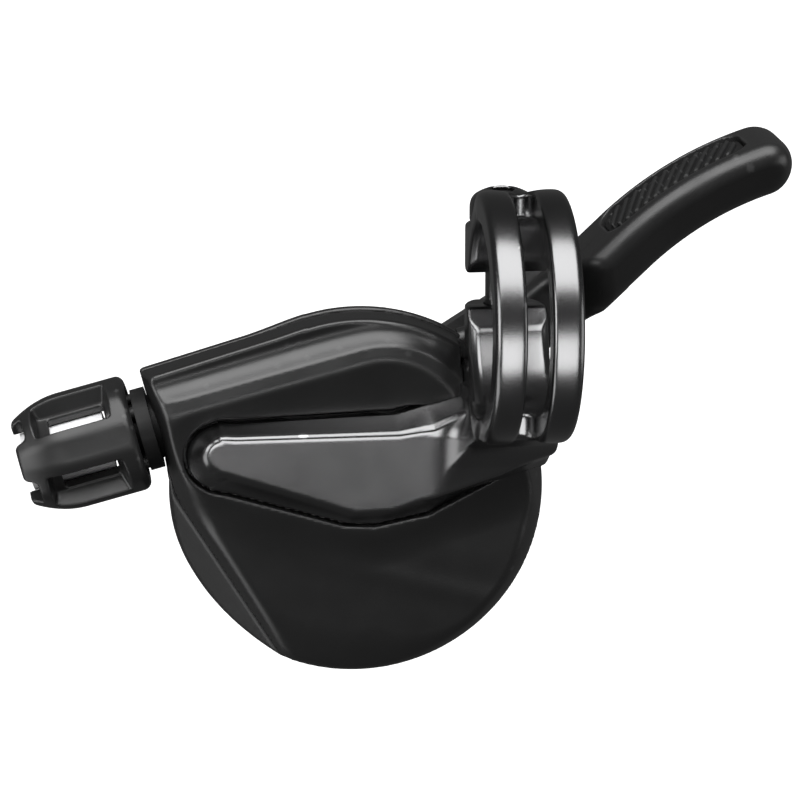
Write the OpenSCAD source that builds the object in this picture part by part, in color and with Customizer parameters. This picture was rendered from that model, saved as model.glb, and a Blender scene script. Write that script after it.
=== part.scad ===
// Left-hand thumb shifter for a two-ring front derailleur, with its handlebar clamp.
// The origin is the centre of the handlebar bore. +X runs outboard along the bar, +Y points back
// towards the rider and +Z points up, so the shift unit hangs in front of the bar and below it.
// Everything that turns on the main axle is stacked along Z. The lever is at the bottom.

/* [Handlebar clamp] */
// Radius of the handlebar that the clamp closes on
bar_r = 11.1; // [10.9:0.1:11.2]
// Width of the clamp along the bar
clamp_w = 10; // [9.6:0.2:10.4]
// Thickness of the clamp band
band_t = 3.3; // [3:0.1:3.5]
// Width of the window along the middle of the band
window_w = 3.2; // [2.4:0.2:4]
// Radius of the clamp bolt's shank
clamp_bolt_r = 2; // [1.75:0.25:2.25]

/* [Casing] */
// Distance from the middle of the clamp inboard to the main axle
axle_in = 16.7; // [16.5:0.1:16.9]
// Distance from the bar's centre forward to the main axle
axle_ahead = 26; // [25.9:0.1:26.2]
// Radius of the round casing at its parting line
case_r = 22.7; // [22.6:0.1:22.9]
// Thickness of the casing's side walls
wall_t = 1.8; // [1.6:0.1:1.9]

/* [Winder] */
// Radius at which the cable's centre wraps round the drum
cable_r = 14.45; // [14.3:0.05:14.5]
// Radius of the inner cable
cable_wire_r = 0.6; // [0.55:0.05:0.6]
// Radius of the main axle
axle_r = 3; // [2.9:0.1:3.1]
// Radial clearance of every running fit
run_gap = 0.05; // [0.03:0.01:0.08]

/* [Thumb lever] */
// Direction of the lever at rest, from +X towards +Y
lever_a = 43.5; // [43:0.5:44.5]
// Distance from the main axle to where the blade starts to curve
blade_straight = 44.2; // [43.6:0.2:44.8]
// Radius of the blade's curve
blade_bend_r = 42; // [41:0.5:43]
// Angle that the blade's curve turns through
blade_bend_a = 26; // [25:0.5:27]

/* [Barrel adjuster] */
// Angle of the adjuster's axis in plan
adjuster_a = 14.5; // [14.5:0.1:14.6]
// Radius of the adjuster knob
knob_r = 7.2; // [7:0.1:7.3]
// Length of the adjuster knob
knob_len = 14.3; // [14.2:0.1:14.6]
// Radius of the socket for the housing's end cap
socket_r = 2.55; // [2.45:0.05:2.6]

/* [Hidden] */
$fn = 48;
big = 60;          // larger than any piece, for cutting tools

// Levels of the stack, from the top down
ridge_top = -13.4;
deck_top = -15.5;
pocket_floor = -16.6;
roof_under = -17.5;
plate_top = -17.6;
plate_under = -18.7;
drum_top = -19.1;
parting = -20;
cable_z = -21.7;
recess_floor = -22.7;
drum_under = -24.3;
pawl_top = -24.55;
pawl_under = -25.5;
ratchet_under = -25.6;
drive_top = -25.9;
drive_under = -27.1;
floor_top = -29.6;
floor_under = -31;
hub_top = -31.3;
arm_top = -32.3;
arm_under = -34.3;
washer_top = -34.4;
nut_top = -35;
nut_under = -38;
axle_end = -38.8;

// Handlebar clamp
band_r = bar_r + band_t;
band_relief = 0.05;        // the bore is this much larger over the window, so the jaws grip first
half_w = clamp_w / 2;
jaw_z = -14.4;             // height of the jaws' round ends
bolt_z = -15;
bolt_head_r = 3.9;
upper_jaw = [2.4, 8];      // the jaws' extents along Y, either side of the split
lower_jaw = [-9.3, -1.7];
jaw_lug_y = -6.4;          // the lower jaw hangs beside the casing up to here
bracket_under = -16.4;
bracket_top = -11.5;
arm_end = [-33.4, -19.6];  // centre of the bracket arm's round end
arm_end_r = 4.15;

// Casing
cover_in_r = case_r - wall_t;
screw_ring_r = 17.8;
screw_r = 1;
screw_boss_r = 1.8;
screw_head_r = 1.7;
screw_tip = -18.3;
end_wall = 2.1;            // the casing's end wall, measured in from the adjuster's reference point

// Adjuster line: its reference point is where the knob's inner end lies
adjuster_p = [-43.1, -17.9];
knob_rib_a = 14;           // a rib of the knob, from straight up towards the rider

// Mechanism
arbor_r = 4.3;
bushing_r = 4;
hub_r = 5.5;
plate_r = 13.8;
drum_r = 15.6;
ratchet_r = 11.4;
stop_pin_r = 17.8;
stop_pin_a = 200;
drive_pin_r = 17.4;
drive_pin_a = 60;
pawl_pin_r = 1.1;

// Lever blade
blade_half = 3.75;
blade_line = -1.3;         // the blade's middle line passes this far beside the axle
blade_root = 24.6;

// ---- helpers -----------------------------------------------------------------------------------

// A cylinder from one level to another
module rod(r, low, high) {
    translate([0, 0, low]) cylinder(r = r, h = high - low);
}

// A ring from one level to another
module ring(r_out, r_in, low, high) {
    difference() {
        rod(r_out, low, high);
        rod(r_in, low - 1, high + 1);
    }
}

// A cylinder along Y at x = 0
module rod_y(r, y_low, y_high, z) {
    translate([0, y_low, z]) rotate([-90, 0, 0]) cylinder(r = r, h = y_high - y_low);
}

module at_axle() {
    translate([-axle_in, -axle_ahead, 0]) children();
}

// At a pin on a circle round the axle, with x pointing away from the axle
module at_pin(r, a) {
    at_axle() rotate(a) translate([r, 0, 0]) children();
}

// The plan of the adjuster line: x runs into the casing, y towards the rider
module in_line() {
    translate(adjuster_p) rotate(adjuster_a) children();
}

// The adjuster's own frame: z runs out of the casing along its axis, -x points up
module in_adjuster() {
    translate([adjuster_p[0], adjuster_p[1], cable_z]) rotate([0, 0, 180 + adjuster_a])
        rotate([0, 90, 0]) children();
}

module in_lever() {
    at_axle() rotate(lever_a) children();
}

// A block that cuts away what lies to the left of the line from p to q, above level z at 45 degrees
module bevel(p, q, z) {
    d = q - p;
    translate([p[0], p[1], z]) rotate([0, 0, atan2(d[1], d[0])]) rotate([45, 0, 0])
        translate([-5, 0, -5]) cube([norm(d) + 10, 20, 25]);
}

// A flat spiral strip
module spiral(r_in, r_out, turns, strip) {
    steps = 22 * turns;
    function at(i, side) = (r_in + (r_out - r_in) * i / steps + side) * [cos(360 * turns * i / steps),
        sin(360 * turns * i / steps)];
    polygon(concat([for (i = [0:steps]) at(i, strip / 2)], [for (i = [steps:-1:0]) at(i, -strip / 2)]));
}

// The cover screws' places
module at_screws() {
    for (a = [100, 170, 250, 330]) at_pin(screw_ring_r, a) children();
}

// The bracket screws' places along the arm
module at_bracket_screws() {
    for (p = [[-30, -19.6], [-10.5, -20.5]]) translate([p[0], p[1], 0]) children();
}

// ---- clamp -------------------------------------------------------------------------------------

// Plan of the bracket's arm and its foot under the clamp band
module arm_plan(grow = 0) {
    translate(arm_end) circle(r = arm_end_r + grow);
    polygon([[-33.6, -15.4 + grow], [-half_w - grow, -14 + grow], [-half_w - grow, -9 + grow],
        [half_w + grow, -9 + grow], [half_w + grow, -18 - grow], [0, -22.4 - grow], [-8.6, -27.3 - grow],
        [-15, -28.6 - grow], [-18.6, -28.4 - grow], [-34.7, -23.5 - grow]]);
}

// Section of a jaw, a bar with a round end, between two places along Y
module jaw(y) {
    translate([0, y[1], 0]) rotate([90, 0, 0]) linear_extrude(y[1] - y[0]) {
        translate([0, jaw_z]) circle(r = half_w);
        translate([-half_w, jaw_z]) square([clamp_w, 9]);
    }
}

// The forged foot that joins the band to the arm, along the width of the clamp
module bracket_foot() {
    translate([-half_w, 0, 0]) rotate([90, 0, 90]) linear_extrude(clamp_w)
        polygon([[-9.3, bracket_under], [-18.4, bracket_under], [-19, bracket_top], [-17.6, -8.5],
            [-14.2, -3.5], [-9.3, -9]]);
    translate([0, -12, 0]) rotate([90, 0, 0]) linear_extrude(9)
        polygon([[-12, bracket_top], [-half_w, bracket_top], [-half_w, -6], [-6, -8.8], [-8.4, -10.8]]);
}

// Window along the near half of the band, with round ends
module band_window() {
    translate([-window_w / 2, 0, -1]) cube([window_w, big, big]);
    translate([-window_w / 2, -big, 2.2]) cube([window_w, big + 1, big]);
    rod_y(window_w / 2, 0, big, -1);
    rod_y(window_w / 2, -big, 0, 2.2);
}

module clamp_bracket() {
    color("#2a2b2d") difference() {
        union() {
            rotate([0, 90, 0]) cylinder(r = band_r, h = clamp_w, center = true);
            jaw(upper_jaw);
            difference() {
                jaw(lower_jaw);
                translate([-big / 2, -big + jaw_lug_y, -big - 17.8]) cube([big, big, big]);
            }
            bracket_foot();
            difference() {
                translate([0, 0, bracket_under]) linear_extrude(bracket_top - bracket_under) arm_plan();
                bevel([-40, -15.7], [-12, -14.35], bracket_top - 1.9);
                bevel([-16, -29], [-40, -21.9], bracket_top - 1.9);
                bevel([-37.5, -26], [-37.5, -14], bracket_top - 1.9);
            }
            at_bracket_screws() rod(2.4, plate_top, bracket_under + 0.1);
        }
        rotate([0, 90, 0]) cylinder(r = bar_r, h = big, center = true);
        intersection() {
            rotate([0, 90, 0]) cylinder(r = bar_r + band_relief, h = big, center = true);
            translate([-big / 2, -big / 2, 0]) cube(big);
        }
        translate([-big / 2, lower_jaw[1], -big - 5]) cube([big, upper_jaw[0] - lower_jaw[1], big]);
        band_window();
        rod_y(clamp_bolt_r + 0.2, 0, big, bolt_z);
        rod_y(clamp_bolt_r, -9, 0, bolt_z);
        rod_y(bolt_head_r + 0.2, upper_jaw[1], big, bolt_z);
        at_bracket_screws() rod(screw_r, plate_top - 1, bracket_top - 1);
    }
}

module clamp_bolt() {
    head_h = 4.3;
    color("#303133") difference() {
        union() {
            rod_y(clamp_bolt_r, -8.9, upper_jaw[1] + 0.1, bolt_z);
            intersection() {
                rod_y(bolt_head_r, upper_jaw[1], upper_jaw[1] + head_h, bolt_z);
                translate([0, upper_jaw[1] - 1.6, bolt_z]) sphere(r = 6, $fn = 64);
            }
        }
        rod_y(1.73, upper_jaw[1] + head_h - 2.6, big, bolt_z, $fn = 6);
    }
}

// ---- casing ------------------------------------------------------------------------------------

// The casing's corner beside the adjuster, and where the straight side meets the round
corner_d = adjuster_p + 7.6 * [-sin(adjuster_a), cos(adjuster_a)]
    + end_wall * [cos(adjuster_a), sin(adjuster_a)] + [axle_in, axle_ahead];
tangent_a = atan2(corner_d[1], corner_d[0]) - acos(case_r / norm(corner_d));

// Plan of the casing: a round body with a straight-sided neck towards the adjuster
module case_plan(inset = 0) {
    at_axle() circle(r = case_r - inset, $fn = 96);
    at_axle() polygon([[0, 0], (case_r - inset) * [cos(tangent_a), sin(tangent_a)],
        corner_d + inset * [0.75, -1.3], corner_d + [3.8 + inset, -14.6 + inset / 2]]);
}

// A flat cut rising inwards from the straight side and the end wall
module shoulder_slopes() {
    side_a = tangent_a - 90;
    at_axle() translate([corner_d[0], corner_d[1], deck_top - 0.8]) {
        rotate(side_a) rotate([-55, 0, 0]) translate([-20, 0, -20]) cube([big, 20, big]);
        rotate(adjuster_a) rotate([0, 15, 0]) translate([-20, -big, -20]) cube([20, 2 * big, big]);
    }
}

// The raised shoulder between the casing's upper edge and the arm's pocket
module shoulder() {
    difference() {
        translate([0, 0, deck_top - 0.5]) linear_extrude(ridge_top - deck_top + 0.5) intersection() {
            case_plan();
            polygon([[-44, -6], [-44, -14.4], [-36, -12.6], [-19.4, -9], [-13.4, -8.6], [-9, -10.2],
                [-5, -14], [-5, -2], [-20, 0]]);
        }
        shoulder_slopes();
        at_axle() difference() {
            rod(case_r + 5, deck_top - 1, 0);
            translate([0, 0, deck_top - 0.8]) cylinder(r1 = case_r, r2 = case_r - 3, h = 2.2);
            translate([-big, -big / 2, deck_top - 2]) rotate(tangent_a - 135) cube(big);
        }
    }
}

// Room for the lower jaw's lug and for the bracket's arm
module bracket_pocket() {
    translate([0, 0, pocket_floor]) linear_extrude(big) arm_plan(0.5);
    translate([-half_w - 0.5, -9.6, -18]) cube([clamp_w + 1, big, big]);
}

// The line on which both covers hold the adjuster's seat
module seat_bore() {
    in_adjuster() rod(3.9, -12, 1);
}

module upper_cover() {
    color("#232426") difference() {
        union() {
            at_axle() translate([0, 0, -18.8]) cylinder(r1 = case_r, r2 = 14, h = deck_top + 18.8, $fn = 96);
            at_axle() rod(case_r, parting, -18.8, $fn = 96);
            difference() {
                translate([0, 0, parting]) linear_extrude(deck_top - parting) intersection() {
                    case_plan();
                    in_line() translate([-5, -12]) square([30, 40]);
                }
                at_axle() rotate(-70) translate([0, -big / 2, -18.8]) cube([big, big, big]);
            }
            shoulder();
        }
        difference() {
            union() {
                at_axle() translate([0, 0, -19.4]) cylinder(r1 = cover_in_r, r2 = 17, h = 19.4 + roof_under);
                at_axle() rod(cover_in_r, parting - 1, -19.4);
                translate([0, 0, parting - 1]) linear_extrude(roof_under - parting + 1) intersection() {
                    case_plan(wall_t);
                    in_line() translate([-5, -6.6]) square([19, 30]);
                }
            }
            at_screws() rod(screw_boss_r, parting - 2, 0);
        }
        bracket_pocket();
        at_bracket_screws() rod(2.6, parting, 0);
        at_screws() rod(screw_r, parting - 1, screw_tip);
        seat_bore();
    }
}

// The lower half of the neck, whose straight side leans in towards the floor
module lower_neck() {
    difference() {
        translate([0, 0, floor_under + 1.6]) linear_extrude(parting - floor_under - 1.6) intersection() {
            case_plan();
            in_line() translate([-5, -6.6]) square([22, 30]);
        }
        at_axle() translate([corner_d[0], corner_d[1], -21]) rotate(tangent_a - 90)
            rotate([-15.5, 0, 0]) translate([-5, 0, -20]) cube([5 + norm(corner_d), 20, 20]);
    }
}

module lower_cover() {
    color("#1f2022") difference() {
        union() {
            at_axle() rod(case_r, -21, parting, $fn = 96);
            at_axle() translate([0, 0, floor_under]) cylinder(r1 = 19.9, r2 = case_r, h = 10, $fn = 96);
            lower_neck();
        }
        difference() {
            union() {
                at_axle() translate([0, 0, floor_top])
                    cylinder(r1 = 18.6, r2 = cover_in_r, h = parting + 0.5 - floor_top);
                translate([0, 0, floor_top + 1.6]) linear_extrude(big) intersection() {
                    case_plan(wall_t + 1.6);
                    in_line() translate([-5, -6.2]) square([19, 30]);
                }
            }
            at_screws() rod(screw_boss_r, floor_under, parting);
            at_pin(stop_pin_r, stop_pin_a) rod(2.2, floor_under, pawl_under - 0.3);
            at_pin(14.2, -90) rod(1, floor_under, drive_under - 0.3);
        }
        at_axle() rod(hub_r + 0.3, floor_under - 1, floor_top + 1);
        at_screws() {
            rod(screw_r, floor_under - 1, parting + 1);
            rod(screw_head_r, floor_under - 1, floor_under + 1);
        }
        at_pin(stop_pin_r, stop_pin_a) rod(pawl_pin_r, floor_under + 0.6, parting);
        in_adjuster() rod(1.6, -48, -32);
        seat_bore();
    }
}

module base_plate() {
    color("#9fa3a6") difference() {
        union() {
            at_axle() rod(plate_r, plate_under, plate_top);
            translate([-30, -19.6, 0]) rod(3.2, plate_under, plate_top);
            translate([-30, -22.8, plate_under]) cube([8, 6.4, plate_top - plate_under]);
        }
        at_axle() rod(2.4, -big, 0);
        at_bracket_screws() {
            rod(screw_r, -big, 0);
            translate([0, 0, plate_under]) cylinder(r1 = 2, r2 = screw_r, h = 1);
        }
    }
}

module bracket_screws() {
    color("#b4b7ba") at_bracket_screws() difference() {
        union() {
            rod(screw_r, plate_under, bracket_top - 1);
            translate([0, 0, plate_under]) cylinder(r1 = 2, r2 = screw_r, h = 1);
        }
        rod(0.7, plate_under - 1, plate_under + 0.6, $fn = 6);
    }
}

module cover_screws() {
    color("#8c8f92") at_screws() difference() {
        union() {
            rod(screw_r, floor_under + 0.9, screw_tip);
            rod(screw_head_r, floor_under, floor_under + 1);
        }
        for (a = [0, 90]) rotate(a) translate([-1.2, -0.25, floor_under - 1]) cube([2.4, 0.5, 1.6]);
    }
}

// A slotted plug over the hole through which a new inner cable is threaded
module cable_port_plug() {
    color("#1c1c1d") in_adjuster() difference() {
        rod(1.6, -43.3, -40.2);
        translate([-0.3, -big / 2, -43.8]) cube([0.6, big, 1.2]);
    }
}

// ---- axle and winder ---------------------------------------------------------------------------

module main_axle() {
    color("#b9bcbf") at_axle() difference() {
        union() {
            rod(2.4, plate_under - 0.1, plate_top);
            rod(arbor_r, recess_floor + 0.1, plate_under);
            rod(axle_r, nut_top, recess_floor + 0.2);
            rod(2.5, axle_end, nut_top + 0.1);
        }
        translate([0, -0.4, recess_floor]) cube([arbor_r + 1, 0.8, 3.2]);
    }
}

module axle_washer() {
    color("#c4c7ca") at_axle() ring(6, axle_r + run_gap, nut_top, washer_top);
}

module axle_nut() {
    color("#a9acaf") at_axle() difference() {
        rod(4.62, nut_under, nut_top, $fn = 6);
        rod(2.5, nut_under - 1, nut_top + 1);
    }
}

// The winder turns on the axle. The cable lies in its groove, and the cable's nipple in its pocket.
module winder_drum() {
    color("#d8d6cf") difference() {
        at_axle() difference() {
            rod(drum_r, drum_under, drum_top, $fn = 96);
            rod(11.8, recess_floor, 0);
            rod(axle_r + run_gap, -big, 0);
            translate([0, 0, cable_z]) rotate_extrude($fn = 96) {
                translate([cable_r, 0]) circle(r = cable_wire_r + 0.1);
                translate([cable_r, -cable_wire_r - 0.1]) square([5, 2 * cable_wire_r + 0.2]);
            }
            for (a = [90, 210, 330]) rotate(a) translate([8.6, 0, -big]) cylinder(r = 1, h = big);
        }
        in_adjuster() rod(2.05, -46, -25.2);
    }
}

module winder_spring() {
    color("#7f8a96") at_axle() translate([0, 0, recess_floor + 0.3]) linear_extrude(3)
        spiral(arbor_r + 0.35, 11.3, 4, 0.5);
}

// Teeth round the plate: the drive pawl pushes the step at 30 degrees, and the stop pawl rides up the
// long ramp and drops behind its end.
function ratchet_at(a) =
    a < 30 ? ratchet_r + 2.2 * max(0, a - 8) / 22
    : a < 168 ? ratchet_r
    : a < 203 ? 11.6 + 1.3 * (a - 168) / 35
    : ratchet_r;

module ratchet_plate() {
    edge = concat([for (a = [0:2:28]) a], [29.9], [for (a = [30:6:162]) a], [for (a = [168:5:198]) a],
        [202.9], [for (a = [206:7:355]) a]);
    color("#8f9498") at_axle() difference() {
        translate([0, 0, ratchet_under]) linear_extrude(drum_under - ratchet_under)
            polygon([for (a = edge) ratchet_at(a) * [cos(a), sin(a)]]);
        rod(axle_r + run_gap, -big, 0);
        for (a = [90, 210, 330]) rotate(a) translate([8.6, 0, -big]) cylinder(r = 1, h = big);
    }
}

module drum_rivets() {
    color("#c9ccce") at_axle() for (a = [90, 210, 330]) rotate(a) translate([8.6, 0, 0])
        rod(1, ratchet_under, recess_floor);
}

// ---- pawls -------------------------------------------------------------------------------------

// A pawl that leans clockwise from its pin and bears on the plate with its tip
module pawl(pin_a, pin_r, eye_r, tip) {
    at_pin(pin_r, pin_a) translate([0, 0, pawl_under]) linear_extrude(pawl_top - pawl_under) difference() {
        union() {
            circle(r = eye_r);
            polygon([[-1.3, 1.3], tip, tip + [1.9, -0.8], [1.3, -1.3]]);
        }
        circle(r = pawl_pin_r + run_gap);
    }
}

// A small spring of flat wire round a pin, with a leg along the pawl
module pawl_spring(pin_a, pin_r, leg_a, low) {
    at_pin(pin_r, pin_a) {
        for (turn = [0, 1]) ring(pawl_pin_r + 0.55, pawl_pin_r + 0.1, low + 0.45 * turn, low + 0.4 + 0.45 * turn);
        ring(pawl_pin_r + 0.45, pawl_pin_r + 0.2, low, low + 0.85);
        rotate(leg_a) translate([0, pawl_pin_r + 0.1, low]) cube([3, 0.4, 0.4]);
    }
}

module stop_pawl_pin() {
    color("#c9ccce") at_pin(stop_pin_r, stop_pin_a) rod(pawl_pin_r, floor_under + 0.6, -23.2);
}

module stop_pawl() {
    color("#8a8f93") pawl(stop_pin_a, stop_pin_r, 1.65, [-7.4, -6]);
}

module stop_pawl_spring() {
    color("#c2c5c8") pawl_spring(stop_pin_a, stop_pin_r, -115, pawl_top + 0.05);
}

module drive_plate() {
    color("#9da1a5") at_axle() difference() {
        union() {
            rod(9.5, drive_under, drive_top);
            rotate(drive_pin_a) {
                translate([0, -3.2, drive_under]) cube([17, 6.4, drive_top - drive_under]);
                translate([drive_pin_r - 1.2, 0, 0]) rod(2.7, drive_under, drive_top);
            }
        }
        intersection() {
            rod(5, -big, 0);
            translate([-4.2, -10, -big]) cube([8.4, 20, big]);
        }
        rotate(drive_pin_a) translate([drive_pin_r, 0, 0]) rod(pawl_pin_r, -big, 0);
    }
}

module drive_pawl_pin() {
    color("#c9ccce") at_pin(drive_pin_r, drive_pin_a) rod(pawl_pin_r, drive_under, -23.3);
}

module drive_pawl() {
    color("#8a8f93") pawl(drive_pin_a, drive_pin_r, 1.8, [-7.1, -5.6]);
}

module drive_pawl_spring() {
    color("#c2c5c8") pawl_spring(drive_pin_a, drive_pin_r, -115, pawl_top + 0.05);
}

// ---- lever -------------------------------------------------------------------------------------

module lever_spring() {
    color("#7f8a96") at_axle() rotate(-90) translate([0, 0, floor_top + 0.3]) linear_extrude(1.8)
        spiral(hub_r + 0.8, 12.8, 3, 0.7);
}

module lever_hub() {
    color("#a4a8ab") at_axle() difference() {
        union() {
            rod(hub_r, hub_top - 0.1, drive_under - 0.1);
            rod(8.5, arm_top, hub_top);
            rod(5, arm_under, arm_top + 0.1);
            intersection() {
                rod(5, drive_under - 0.2, drive_top);
                translate([-4.2, -10, -big]) cube([8.4, 20, big]);
            }
        }
        rod(bushing_r, -big, 0);
    }
}

module lever_bushing() {
    color("#c2a46a") at_axle() ring(bushing_r, axle_r + run_gap, arm_under, drive_top + 0.05);
}

// Places of the two screws that hold the blade on the arm
module at_lever_screws() {
    in_lever() for (x = [27.2, 32.8]) translate([x, blade_line, 0]) children();
}

module lever_arm() {
    color("#3a3b3d") difference() {
        in_lever() translate([0, 0, arm_under]) linear_extrude(arm_top - arm_under) {
            circle(r = 8.5);
            polygon([[0, -8.5], [34, blade_line - 3], [34, blade_line + 3], [0, 8.5]]);
            translate([34, blade_line]) circle(r = 3);
        }
        at_axle() rod(5, -big, 0);
        at_lever_screws() rod(1.3, -big, 0);
    }
}

// Section of the blade: x is towards the pad, y is up
module blade_section() {
    polygon([[-1.4, -27.2], [3, -27.2], [4.1, -26], [3.1, -16.9], [1.5, -15.7], [0, -15.9], [-3.2, -19.4],
        [-blade_half, -20.8], [-3.3, -26]]);
}

// The blade's straight root, which rises from the arm to the level of the thumb
module blade_root_part() {
    intersection() {
        translate([0, blade_line, 0]) rotate([90, 0, 90]) translate([0, 0, blade_root])
            linear_extrude(blade_straight - blade_root) union() {
                blade_section();
                translate([-blade_half, arm_top]) square([2 * blade_half, 11.6]);
            }
        translate([0, 20, 0]) rotate([90, 0, 0]) linear_extrude(40)
            polygon([[blade_root, arm_top], [35, arm_top], [40.5, -27.2], [50, -27.2], [50, -10],
                [43.6, -15.7], [37.6, -20.6], [30, -24.5], [blade_root, -26]]);
    }
}

module thumb_lever() {
    color("#262729") difference() {
        in_lever() {
            blade_root_part();
            translate([blade_straight, blade_line - blade_bend_r, 0]) {
                rotate(90 - blade_bend_a) rotate_extrude(angle = blade_bend_a + 0.2, $fn = 160)
                    translate([blade_bend_r, 0]) blade_section();
                rotate(90 - blade_bend_a) translate([blade_bend_r, 0, 0]) rotate_extrude()
                    polygon([[0, -27.2], [2.6, -27.2], [3.9, -26], [3.4, -17.6], [1.6, -15.8], [0, -15.8]]);
            }
        }
        at_lever_screws() rod(1.3, arm_top - 1, arm_top + 5.2);
        lever_pad_block(0);
    }
}

// The band that the grip pad fills, in the face of the blade that the thumb pushes
module lever_pad_block(proud) {
    in_lever() translate([blade_straight, blade_line - blade_bend_r, 0])
        rotate(92 - blade_bend_a) rotate_extrude(angle = blade_bend_a - 1, $fn = 160)
            translate([blade_bend_r, 0]) polygon([[2, -25.3], [4.05 + proud, -25.3], [3.25 + proud, -18],
                [2, -18]]);
}

module lever_pad() {
    color("#17181a") {
        lever_pad_block(0.05);
        in_lever() translate([blade_straight, blade_line - blade_bend_r, 0])
            for (i = [0:13]) rotate(94.5 - blade_bend_a + i * (blade_bend_a - 6) / 13)
                translate([blade_bend_r + 3.65, 0, -21.6]) rotate([0, 6, 0]) rotate([24, 0, 0])
                    cube([0.9, 0.6, 6.4], center = true);
    }
}

module lever_screws() {
    color("#b4b7ba") at_lever_screws() difference() {
        union() {
            rod(1.3, arm_under - 0.1, arm_top + 5);
            rod(2.5, arm_under - 1.6, arm_under);
        }
        rod(1.1, arm_under - 2, arm_under - 0.6, $fn = 6);
    }
}

// ---- barrel adjuster ---------------------------------------------------------------------------

// The fixed seat: a sleeve in the casing's end wall, a collar outside it and a nose for the knob
module adjuster_seat() {
    color("#2b2c2e") in_adjuster() difference() {
        union() {
            rod(3.9, -9, -end_wall + 0.1);
            rod(5, -end_wall, -0.4);
            rod(3.25, -0.5, 1.8);
        }
        rod(2.65, -big, big);
    }
}

// A wave washer in the knob's inner end, which gives its clicks
module adjuster_spring() {
    color("#c2c5c8") in_adjuster() {
        ring(5.5, 3.6, 0.45, 0.75);
        for (a = [0:90:270]) rotate(a) {
            translate([4.5, 0, 0.6]) cylinder(r = 0.7, h = 0.95);
            rotate(45) translate([4.5, 0, -0.4]) cylinder(r = 0.7, h = 1);
        }
    }
}

module adjuster_knob() {
    taper = 9.8;
    color("#242527") in_adjuster() rotate(knob_rib_a) difference() {
        union() {
            rod(knob_r, 0.8, taper);
            cylinder(r1 = knob_r - 0.8, r2 = knob_r, h = 0.81);
            translate([0, 0, taper]) cylinder(r1 = knob_r, r2 = 5.2, h = knob_len - taper);
        }
        rod(5.9, -1, 1.6);
        rod(3.3, -1, 2.1);
        rod(3.6, 2, big);
        for (a = [45:90:315]) rotate(a) {
            translate([4.7, -2.9, 2.9]) cube([5, 5.8, 8.4]);
            translate([3, -1, 3.2]) cube([5, 2, 6.5]);
            translate([3, -1.7, knob_len - 1.5]) cube([5, 3.4, 3]);
        }
    }
}

module adjuster_barrel() {
    color("#d5d8db") in_adjuster() difference() {
        union() {
            rod(2.6, -7, 3.6);
            rod(3.5, 3.5, 13.6);
        }
        rod(0.8, -big, big);
        rod(socket_r, 4.6, big);
    }
}

clamp_bracket();
clamp_bolt();
upper_cover();
lower_cover();
base_plate();
main_axle();
axle_washer();
axle_nut();
cover_screws();
bracket_screws();
cable_port_plug();
stop_pawl_pin();
stop_pawl_spring();
winder_spring();
lever_spring();
adjuster_seat();
adjuster_spring();
winder_drum();
ratchet_plate();
drum_rivets();
stop_pawl();
lever_hub();
lever_bushing();
lever_arm();
thumb_lever();
lever_pad();
lever_screws();
drive_plate();
drive_pawl_pin();
drive_pawl();
drive_pawl_spring();
adjuster_knob();
adjuster_barrel();
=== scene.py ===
"""Looks of the thumb shifter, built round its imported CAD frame.

Shapes are written as signed distance fields in millimetres, in the frame that the CAD model uses:
the handlebar's centre is the origin, +X runs outboard, +Y back to the rider and +Z up.
A field is negative inside the material. skin() turns a field into a mesh.
"""

import math

import bpy
import numpy as np
from mathutils import Matrix, Vector

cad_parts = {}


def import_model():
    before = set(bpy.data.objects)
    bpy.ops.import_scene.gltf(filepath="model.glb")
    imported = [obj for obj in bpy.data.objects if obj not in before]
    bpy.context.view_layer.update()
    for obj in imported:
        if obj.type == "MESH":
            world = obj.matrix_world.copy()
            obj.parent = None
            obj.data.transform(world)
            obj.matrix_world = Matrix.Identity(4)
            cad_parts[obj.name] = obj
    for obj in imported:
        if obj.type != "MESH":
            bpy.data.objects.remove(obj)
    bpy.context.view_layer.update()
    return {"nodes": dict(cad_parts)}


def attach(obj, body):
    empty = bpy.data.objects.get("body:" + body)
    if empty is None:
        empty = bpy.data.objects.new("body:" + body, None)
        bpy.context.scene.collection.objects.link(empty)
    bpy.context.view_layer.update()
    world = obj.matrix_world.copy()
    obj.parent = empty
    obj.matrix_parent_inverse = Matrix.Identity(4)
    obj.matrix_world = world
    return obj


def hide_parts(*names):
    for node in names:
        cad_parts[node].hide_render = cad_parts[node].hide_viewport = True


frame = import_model()
MM = 0.001

# Handlebar clamp, as in the CAD
BAR_R = 11.1
BAND_R = 14.4
CLAMP_HALF = 5.0
WINDOW_HALF = 1.6
WINDOW_TRIM = 0.2  # the window's walls stand this much inside the CAD's
BOLT_Z = -15.0
BOLT_R = 2.0
BOLT_HEAD_R = 3.9
HEX_HALF = 1.5
HEX_DEPTH = 1.7
BOLT_HOLE_R = 2.15
COUNTERBORE_R = 4.1
THREAD_END = -8.9
JAW_Z = -14.4
JAW_TOP = -5.4
UPPER_JAW = (2.4, 8.0)  # from and to, along Y
LOWER_JAW = (-9.3, -1.7)
LUG_FRONT = -6.4
LUG_UNDER = -17.8
BEVEL_TOP = -3.0  # the jaws' bevelled edges end at this height
BRACKET_UNDER = -16.4

# The bracket's arm: its wall leans from the foot up to the face, and its face tilts to the rider
ARM_END = (-33.4, -19.6)
ARM_END_R = 4.15
ARM_FACE_END = (-33.3, -18.7)
ARM_FACE_END_R = 2.3
ARM_TILT = 0.25
ARM_TILT_Y = -16.5  # the tilt turns about this line
ARM_FOOT_Z = -14.6
ARM_FOOT_LOW = -15.4
ARM_FACE_Z = -11.4
ARM_TOP_Z = -11.2

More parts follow.
